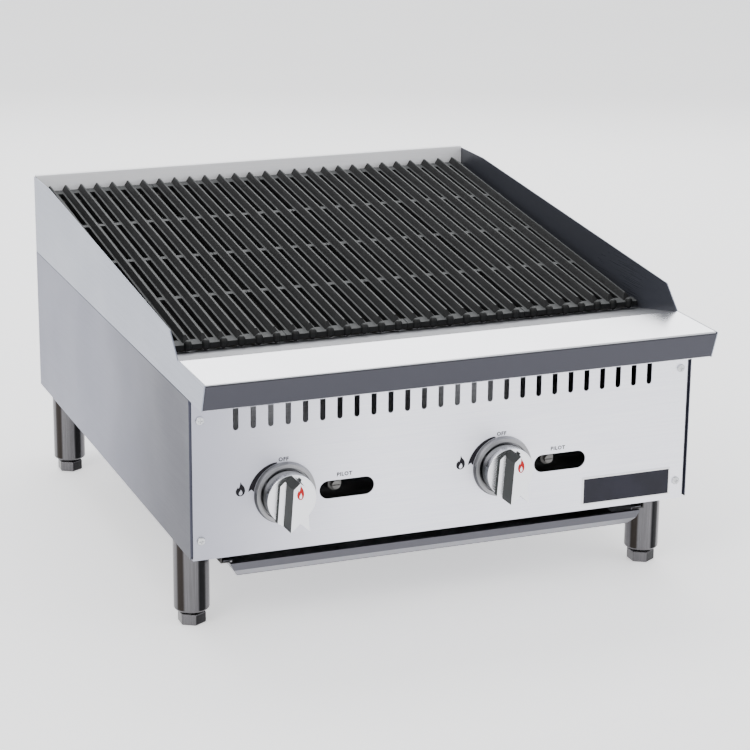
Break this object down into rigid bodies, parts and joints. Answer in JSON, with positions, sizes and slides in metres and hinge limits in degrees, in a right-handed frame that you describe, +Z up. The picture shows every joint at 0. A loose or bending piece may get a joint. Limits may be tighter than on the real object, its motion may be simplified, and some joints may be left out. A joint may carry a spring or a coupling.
{
  "type": "countertop gas charbroiler",
  "caption": "Low sheet-steel gas charbroiler with sloping cast-iron grates, raised splash on three sides, front ledge, chrome valve knobs, pull-out drip tray and adjustable legs.",
  "frame": {"origin": "on the floor, under the middle of the whole outline seen from above", "axes": "+X to the right of a person facing the control panel, +Y from the panel to the rear, +Z up"},
  "size_m": [0.61, 0.768, 0.389],
  "materials": {
    "stainless": "fine vertical brushed grain, satin",
    "inner_steel": "plain mill finish",
    "leg_steel": "turned and satin, fine rings",
    "grate_iron": "dark cast iron, lightly textured",
    "burner_iron": "raw cast iron",
    "radiant_steel": "plain, heat dulled",
    "knob_chrome": "satin chrome plate",
    "bezel_steel": "dull grey",
    "brass": "machined",
    "tube_aluminium": "drawn",
    "zinc_steel": "zinc plated",
    "black_pipe": "black pipe, semi-matt",
    "badge": "dark enamel with a pale border"
  },
  "bodies": {
    "frame": {"back_splash": "stainless", "base_cross_front": "inner_steel", "base_rail_left": "inner_steel", "base_rail_right": "inner_steel", "blank_badge": "badge", "burner_left": "burner_iron", "burner_right": "burner_iron", "control_panel": "stainless", "front_apron": "inner_steel", "gas_valve_left": "brass", "gas_valve_right": "brass", "knob_bezel_left": "bezel_steel", "knob_bezel_right": "bezel_steel", "ledge": "stainless", "leg_bolts": "zinc_steel", "leg_front_left": "leg_steel", "leg_front_right": "leg_steel", "leg_rear_left": "leg_steel", "leg_rear_right": "leg_steel", "liner_front": "inner_steel", "liner_left": "inner_steel", "liner_rear": "inner_steel", "liner_right": "inner_steel", "manifold": "black_pipe", "orifice_hood_left": "brass", "orifice_hood_right": "brass", "panel_screws": "zinc_steel", "pilot_burner_left": "zinc_steel", "pilot_burner_right": "zinc_steel", "pilot_tube_left": "tube_aluminium", "pilot_tube_right": "tube_aluminium", "pilot_valve_left": "brass", "pilot_valve_right": "brass", "radiant_1": "radiant_steel", "radiant_2": "radiant_steel", "radiant_3": "radiant_steel", "radiant_4": "radiant_steel", "rear_grate_support": "inner_steel", "rear_panel": "stainless", "side_panel_left": "stainless", "side_panel_right": "stainless", "splash_side_left": "stainless", "splash_side_right": "stainless", "supply_pipe": "black_pipe"},
    "knob_left_turned": {"knob_left": "knob_chrome", "valve_stem_left": "brass"},
    "shutter_left": {"air_shutter_left": "zinc_steel"},
    "knob_right_turned": {"knob_right": "knob_chrome", "valve_stem_right": "brass"},
    "shutter_right": {"air_shutter_right": "zinc_steel"},
    "tray": {"drip_tray": "stainless"},
    "grate_1_lifted": {"grate_1": "grate_iron"},
    "grate_2_lifted": {"grate_2": "grate_iron"},
    "grate_3_lifted": {"grate_3": "grate_iron"},
    "grate_4_lifted": {"grate_4": "grate_iron"},
    "foot_front_left_screwed": {"foot_front_left": "leg_steel"},
    "foot_front_right_screwed": {"foot_front_right": "leg_steel"},
    "foot_rear_left_screwed": {"foot_rear_left": "leg_steel"},
    "foot_rear_right_screwed": {"foot_rear_right": "leg_steel"}
  },
  "joints": [
    {"name": "knob_left_turn", "type": "hinge", "parent": "frame", "child": "knob_left_turned", "pos_m": [-0.195, -0.336, 0.1655], "axis": [0, -1, 0], "range_deg": [0, 90]},
    {"name": "shutter_left_turn", "type": "hinge", "parent": "frame", "child": "shutter_left", "pos_m": [-0.195, -0.212, 0.1655], "axis": [0, 1, 0], "range_deg": [-30, 30]},
    {"name": "knob_right_turn", "type": "hinge", "parent": "frame", "child": "knob_right_turned", "pos_m": [0.067, -0.336, 0.1655], "axis": [0, -1, 0], "range_deg": [0, 90]},
    {"name": "shutter_right_turn", "type": "hinge", "parent": "frame", "child": "shutter_right", "pos_m": [0.067, -0.212, 0.1655], "axis": [0, 1, 0], "range_deg": [-30, 30]},
    {"name": "drip_tray_pull", "type": "slide", "parent": "frame", "child": "tray", "axis": [0, -1, 0], "range_m": [0, 0.45]},
    {"name": "grate_1_lift", "type": "slide", "parent": "frame", "child": "grate_1_lifted", "axis": [0, 0, 1], "range_m": [0, 0.12]},
    {"name": "grate_2_lift", "type": "slide", "parent": "frame", "child": "grate_2_lifted", "axis": [0, 0, 1], "range_m": [0, 0.12]},
    {"name": "grate_3_lift", "type": "slide", "parent": "frame", "child": "grate_3_lifted", "axis": [0, 0, 1], "range_m": [0, 0.12]},
    {"name": "grate_4_lift", "type": "slide", "parent": "frame", "child": "grate_4_lifted", "axis": [0, 0, 1], "range_m": [0, 0.12]},
    {"name": "foot_front_left_height", "type": "slide", "parent": "frame", "child": "foot_front_left_screwed", "axis": [0, 0, 1], "range_m": [-0.02, 0]},
    {"name": "foot_front_right_height", "type": "slide", "parent": "frame", "child": "foot_front_right_screwed", "axis": [0, 0, 1], "range_m": [-0.02, 0]},
    {"name": "foot_rear_left_height", "type": "slide", "parent": "frame", "child": "foot_rear_left_screwed", "axis": [0, 0, 1], "range_m": [-0.02, 0]},
    {"name": "foot_rear_right_height", "type": "slide", "parent": "frame", "child": "foot_rear_right_screwed", "axis": [0, 0, 1], "range_m": [-0.02, 0]}
  ]
}
